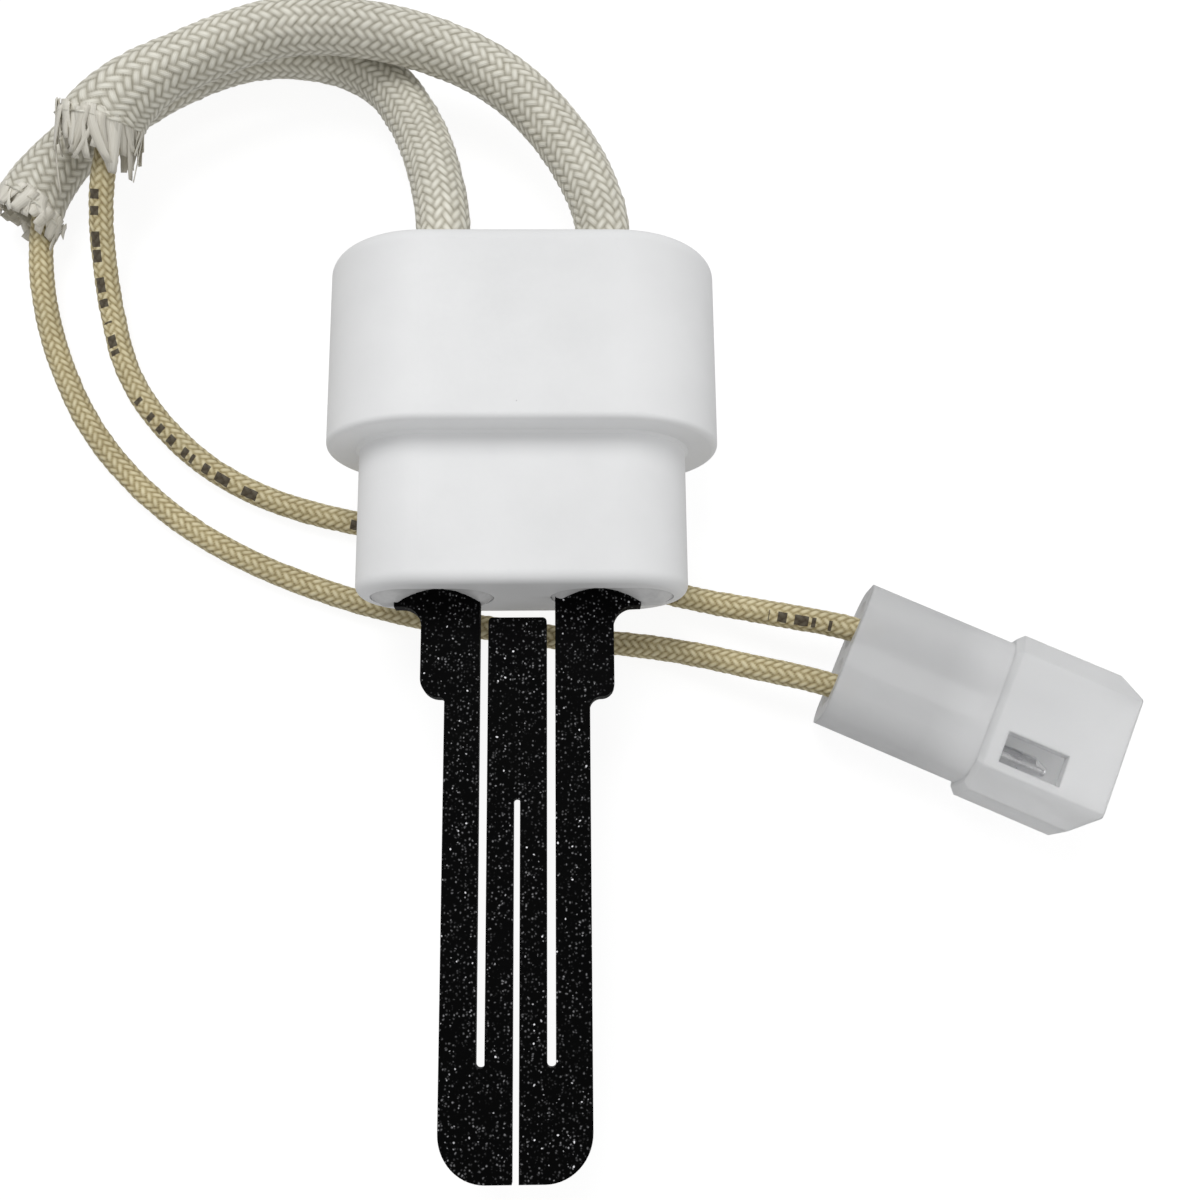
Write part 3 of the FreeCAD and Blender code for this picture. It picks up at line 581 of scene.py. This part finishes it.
def makeLead(side, finish):
    line = evenLine(splineLine(routePoints(side)), leadLook["step"] * mm)
    radius = leadLook["diameter"] / 2
    lead = braidedTube(f"leadBraid_{side}", line, carriedFrames(line), leadLook, lambda travel: radius)
    lead.data.materials.append(finish.material)
    points = routePoints(side)
    # the sleeve ends between these two points of the route
    mouthFrom, mouthTo = sleeveLook["mouthRun"][side]
    mouth = (points[mouthFrom] + points[mouthTo]) / 2
    nearest = min(range(len(line)), key=lambda number: (line[number] - mouth).length)
    startY = sleeveLook["start"] * mm
    begin = min(range(len(line)), key=lambda number: abs(line[number].y - startY) + number * 1e-7)
    nearest += round(sleeveLook["mouthPast"][side] / leadLook["step"])
    sleeveLine = evenLine(line[begin:nearest + 1], sleeveLook["step"] * mm)
    total = (len(sleeveLine) - 1) * sleeveLook["step"]
    base = sleeveLook["diameter"] / 2
    flare = sleeveLook["mouthFlare"][side]
    swell = sleeveLook["swell"][side]
    shift = Vector(sleeveLook["mouthShift"][side]) * mm
    turn = math.radians(sleeveLook["mouthTurn"][side])

    def opening(travel):
        # Grows from 0 to 1 over the last stretch before the cut end.
        near = max(0.0, 1 - (total - travel) / sleeveLook["flareLength"])
        return near * near

    def sleeveRadius(travel):
        loose = min(1.0, max(0.0, (travel - sleeveLook["swellFrom"]) / sleeveLook["swellRun"]))
        return base * (1 + swell * loose + flare * opening(travel))

    # The cut end goes on straighter than the lead that bends inside it, and its mouth is turned.
    step = sleeveLook["step"]
    sleeveLine = [spot + shift * opening(row * step) for row, spot in enumerate(sleeveLine)]
    frames = carriedFrames(sleeveLine, lambda row: turn * opening(row * step))
    sleeve = braidedTube(
        f"sleeveBraid_{side}", sleeveLine, frames, sleeveLook, sleeveRadius, sleeveLook["wall"]
    )
    sleeve.data.materials.append(sleeveFinish.material)
    fray = frayedEnd(side, sleeveLine[-1], frames[-1], sleeveRadius(total))
    fray.data.materials.append(frayFinish.material)
    for piece, slotName in ((lead, "lead_braid"), (sleeve, "sleeve_braid"), (fray, "sleeve_braid")):
        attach(piece, "root")
    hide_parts(f"lead_{side}")
    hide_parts(f"sleeve_{side}")


makeLead("left", leadPlain)
makeLead("right", leadMarked)


blockLook = {
    "colour": (0.86, 0.865, 0.87, 1),
    "shade": (0.79, 0.795, 0.8, 1),
    "speck": (0.4, 0.4, 0.4, 1),
    "speckScale": 420.0,
    "speckSize": 0.05,
    "speckGate": 0.8,
    "speckStrength": 0.55,
}
blockFinish = Finish("blockCeramic", {"Specular IOR Level": 0.4})
blockSpot = blockFinish.objectSpot()
blockCloud = blockFinish.noise(blockSpot, 70.0, 4.0)
blockGrain = blockFinish.noise(blockSpot, 2400.0, 3.0)
blockColour = blockFinish.between(
    blockFinish.remap(blockCloud, 0.35, 0.7, 0.0, 1.0), blockLook["colour"], blockLook["shade"]
)
speckDistance = blockFinish.cells(blockSpot, blockLook["speckScale"], "Distance")
speckTint = blockFinish.cells(blockSpot, blockLook["speckScale"], "Color")
speckPick = blockFinish.node("SeparateXYZ", {}, {"Vector": speckTint})
speckMask = (speckDistance < blockLook["speckSize"]) * (speckPick > blockLook["speckGate"])
speckMask = speckMask * blockLook["speckStrength"]
blockFinish.feed("Base Color", blockFinish.between(speckMask, blockColour, blockLook["speck"]))
blockFinish.feed("Roughness", blockFinish.remap(blockGrain, 0.3, 0.7, 0.5, 0.62))
blockFinish.feed("Normal", blockFinish.bump(blockGrain + blockCloud * 2.0, 0.12, 0.00005))
dress("ceramic_block", blockFinish)
print("block finished")


elementLook = {
    "body": (0.0011, 0.0011, 0.0012, 1),
    "light": (0.9, 0.9, 0.93, 1),
    "grainScale": 3300.0,
    "grainLevel": 0.34,
    "fineScale": 2300.0,
    "glintScale": 1450.0,
}
elementFinish = Finish("siliconCarbide", {"Specular IOR Level": 0.03})
elementSpot = elementFinish.objectSpot()
stirInputs = {"Vector": elementSpot, "Scale": 3000.0, "Detail": 1.0}
elementStir = elementFinish.node("TexNoise", {}, stirInputs, "Color")
elementStir = elementFinish.node("VectorMath", {"operation": "SCALE"}, {0: elementStir, "Scale": 0.00022})
elementSpot = elementFinish.node("VectorMath", {"operation": "ADD"}, {0: elementSpot, 1: elementStir})


def crystals(scale, near, far, gate):
    # Pale spots at random, the brighter the rarer: used for the grey grains and for the painted glints of
    # light off crystal facets.
    distance = elementFinish.cells(elementSpot, scale, "Distance")
    colour = elementFinish.cells(elementSpot, scale, "Color")
    tint = elementFinish.node("SeparateXYZ", {}, {"Vector": colour})
    facet = elementFinish.remap(distance, near, far, 1.0, 0.0)
    return facet * elementFinish.remap(tint, gate, 1.0, 0.0, 1.0)


elementCloud = elementFinish.noise(elementSpot, 160.0, 3.0)
grains = crystals(elementLook["grainScale"], 0.1, 0.5, 0.15) ** 2.2
grains = grains * elementFinish.remap(elementCloud, 0.3, 0.7, 0.5, 1.3) * elementLook["grainLevel"]
# painted glints: small white spots stand in for light caught by crystal facets
paintedFineGlints = crystals(elementLook["fineScale"], 0.1, 0.2, 0.62) * 0.45
paintedGlints = crystals(elementLook["glintScale"], 0.08, 0.15, 0.66) * 1.6
grainsAndPaintedGlints = elementFinish.node("Math", {"operation": "MINIMUM"}, {0: grains + paintedFineGlints + paintedGlints, 1: 1.0})
# The colour runs from the black body toward a pale one: grey grains of the carbide, and painted glints.
elementColour = elementFinish.between(grainsAndPaintedGlints, elementLook["body"], elementLook["light"])
elementFinish.feed("Base Color", elementColour)
elementFinish.feed("Roughness", elementFinish.remap(elementCloud, 0.3, 0.7, 0.5, 0.65))
elementPits = elementFinish.noise(elementSpot, 3800.0, 3.0)
elementFinish.feed("Normal", elementFinish.bump(elementPits, 0.5, 0.00005))
dress("heating_element", elementFinish)
print("element finished")


cementColours = {"light": (0.7, 0.7, 0.7, 1), "dark": (0.55, 0.55, 0.55, 1)}
cementFinish = Finish("refractoryCement", {"Specular IOR Level": 0.3})
cementCloud = cementFinish.noise(cementFinish.objectSpot(), 420.0, 5.0, 0.6)
cementShare = cementFinish.remap(cementCloud, 0.35, 0.7, 0.0, 1.0)
cementColour = cementFinish.between(cementShare, cementColours["light"], cementColours["dark"])
cementFinish.feed("Base Color", cementColour)
cementFinish.feed("Roughness", cementFinish.remap(cementCloud, 0.3, 0.7, 0.7, 0.9))
cementFinish.feed("Normal", cementFinish.bump(cementCloud, 0.6, 0.0002))
for side in ("left", "right"):
    dress(f"lead_cement_{side}", cementFinish)

cementLook = {
    "columns": 44,
    "rows": 26,
    "edge": -14.35,
    "middle": -13.8,
    "rise": 1.3,
    "centre": {"left": -7.9, "right": 7.3},
    "half": 3.9,
    "legHalf": 0.9,
    "endRun": 1.1,
    "grit": 0.05,
    "gritScale": 2.2,
}


def cementFill(side):
    # The cement in a pocket of the neck: low over the middle of the leg, wiped up against its two edges.
    low, high = (Vector(corner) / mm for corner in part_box(f"element_cement_{side}"))
    halfHeight = (high.z - low.z) / 2
    middleX = (high.x + low.x) / 2
    straight = (high.x - low.x) / 2 - halfHeight
    centre = cementLook["centre"][side]
    shape = bmesh.new()
    bmesh.ops.create_grid(shape, x_segments=cementLook["columns"], y_segments=cementLook["rows"], size=1.0)
    for vertex in shape.verts:
        share = vertex.co.x
        z = math.sin(vertex.co.y * math.pi / 2) * halfHeight
        chord = straight + math.sqrt(max(0.0, halfHeight * halfHeight - z * z))
        x = middleX + share * chord
        inset = min(1.0, (chord - abs(x - middleX)) / cementLook["endRun"])
        inset *= min(1.0, (halfHeight - abs(z)) / (halfHeight - cementLook["legHalf"]))
        across = (x - centre) / cementLook["half"]
        surface = cementLook["middle"] - cementLook["rise"] * min(1.0, across * across)
        y = cementLook["edge"] + (surface - cementLook["edge"]) * inset
        y += cementLook["grit"] * inset * noise.noise(Vector((x, y, z)) * cementLook["gritScale"])
        vertex.co = Vector((x, y, z)) * mm
    front = shape.faces[:]
    grown = bmesh.ops.extrude_face_region(shape, geom=front)["geom"]
    for item in grown:
        if isinstance(item, bmesh.types.BMVert):
            item.co.y = high.y * mm
    bmesh.ops.recalc_face_normals(shape, faces=shape.faces)
    for face in shape.faces:
        face.smooth = abs(face.normal.y) > 0.3
    fill = finishedPiece(f"cementFill_{side}", shape)
    fill.data.materials.append(cementFinish.material)
    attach(fill, "root")
    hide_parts(f"element_cement_{side}")


cementFill("left")
cementFill("right")
print("cement finished")


# The housing's base colour runs from a darker rear to its own pale front colour: painted shade over the
# rear, where the contacts' barrels show through the walls.
plugLook = {
    "rear": (0.8, 0.805, 0.81, 1),
    "front": (0.98, 0.985, 0.99, 1),
    "axis": (0.913545, -0.406737, 0.0),
    "from": 0.046,
    "to": 0.0515,
    "edge": 0.00035,
}
plugFinish = Finish("naturalNylon", {"Transmission Weight": 0.45, "IOR": 1.46})
plugSpot = plugFinish.objectSpot()
alongPlug = {0: plugSpot, 1: plugLook["axis"]}
plugTravel = plugFinish.node("VectorMath", {"operation": "DOT_PRODUCT"}, alongPlug, "Value")
plugShare = plugFinish.remap(plugTravel, plugLook["from"], plugLook["to"], 0.0, 1.0)
# painted shade: darker toward the rear along the plug's axis
plugFinish.feed("Base Color", plugFinish.between(plugShare, plugLook["rear"], plugLook["front"]))
plugGrain = plugFinish.noise(plugSpot, 900.0, 3.0)
plugEdges = plugFinish.node("Bevel", {"samples": 6}, {"Radius": plugLook["edge"]})
plugFinish.feed("Roughness", plugFinish.remap(plugGrain, 0.3, 0.7, 0.34, 0.46))
plugFinish.feed("Normal", plugFinish.bump(plugGrain, 0.15, 0.00005, plugEdges))
dress("plug_housing", plugFinish)


def metalFinish(name, colour, dark, roughness):
    finish = Finish(name, {"Metallic": 1.0})
    wear = finish.noise(finish.objectSpot(), 600.0, 4.0)
    finish.feed("Base Color", finish.between(finish.remap(wear, 0.4, 0.7, 0.0, 1.0), colour, dark))
    finish.feed("Roughness", finish.remap(wear, 0.3, 0.7, roughness, roughness + 0.18))
    return finish


contactFinish = metalFinish("tinnedContact", (0.8, 0.8, 0.81, 1), (0.6, 0.6, 0.62, 1), 0.18)
clipFinish = metalFinish("clipSteel", (0.5, 0.49, 0.47, 1), (0.36, 0.34, 0.31, 1), 0.35)
wireFinish = metalFinish("platedWire", (0.66, 0.63, 0.57, 1), (0.5, 0.46, 0.4, 1), 0.3)
for side in ("left", "right"):
    dress(f"contact_{side}", contactFinish)
    dress(f"element_terminal_{side}", clipFinish)
    dress(f"conductor_{side}", wireFinish)
    dress(f"conductor_tip_{side}", wireFinish)
print("plug and metal finished")


stageLook = {
    "floor": (0.2, 0.2, 0.2, 1),
    "glow": 0.88,
    "world": 0.52,
    "keyPlace": (-0.14, 0.42, 0.78),
    "keyPower": 3.3,
    "fillPlace": (0.6, -0.12, 0.5),
    "fillPower": 0.8,
    "keySize": 0.45,
    "fillSize": 0.6,
    "floorDrop": 0.00005,
}


def makeFloor():
    # A pale floor that the camera sees; the soft light under the part comes from the world.
    shape = bmesh.new()
    bmesh.ops.create_grid(shape, x_segments=1, y_segments=1, size=3.0)
    bmesh.ops.translate(shape, verts=shape.verts, vec=(0, 0, floorLevel - stageLook["floorDrop"]))
    floor = finishedPiece("floor", shape)
    finish = Finish("paleFloor", {
        "Base Color": stageLook["floor"],
        "Roughness": 0.9,
        "Specular IOR Level": 0.0,
        "Emission Color": (1, 1, 1, 1),
        "Emission Strength": stageLook["glow"],
    })
    floor.data.materials.append(finish.material)
    floor.visible_diffuse = False
    floor.visible_glossy = False
    floor.visible_transmission = False
    floor.visible_shadow = False


def areaLight(name, place, size, power):
    data = bpy.data.lights.new(name, "AREA")
    data.shape = "SQUARE"
    data.size = size
    data.energy = power
    light = bpy.data.objects.new(name, data)
    bpy.context.scene.collection.objects.link(light)
    aim = (-Vector(place)).to_track_quat("-Z", "Y").to_matrix().to_4x4()
    light.matrix_world = Matrix.Translation(place) @ aim


makeFloor()
areaLight("keyLight", stageLook["keyPlace"], stageLook["keySize"], stageLook["keyPower"])
areaLight("fillLight", stageLook["fillPlace"], stageLook["fillSize"], stageLook["fillPower"])
world = bpy.data.worlds.new("studio")
world.use_nodes = True
world.node_tree.nodes["Background"].inputs["Color"].default_value = (1, 1, 1, 1)
world.node_tree.nodes["Background"].inputs["Strength"].default_value = stageLook["world"]
bpy.context.scene.world = world
bpy.context.scene.view_settings.view_transform = "Standard"
print("floor and light set")
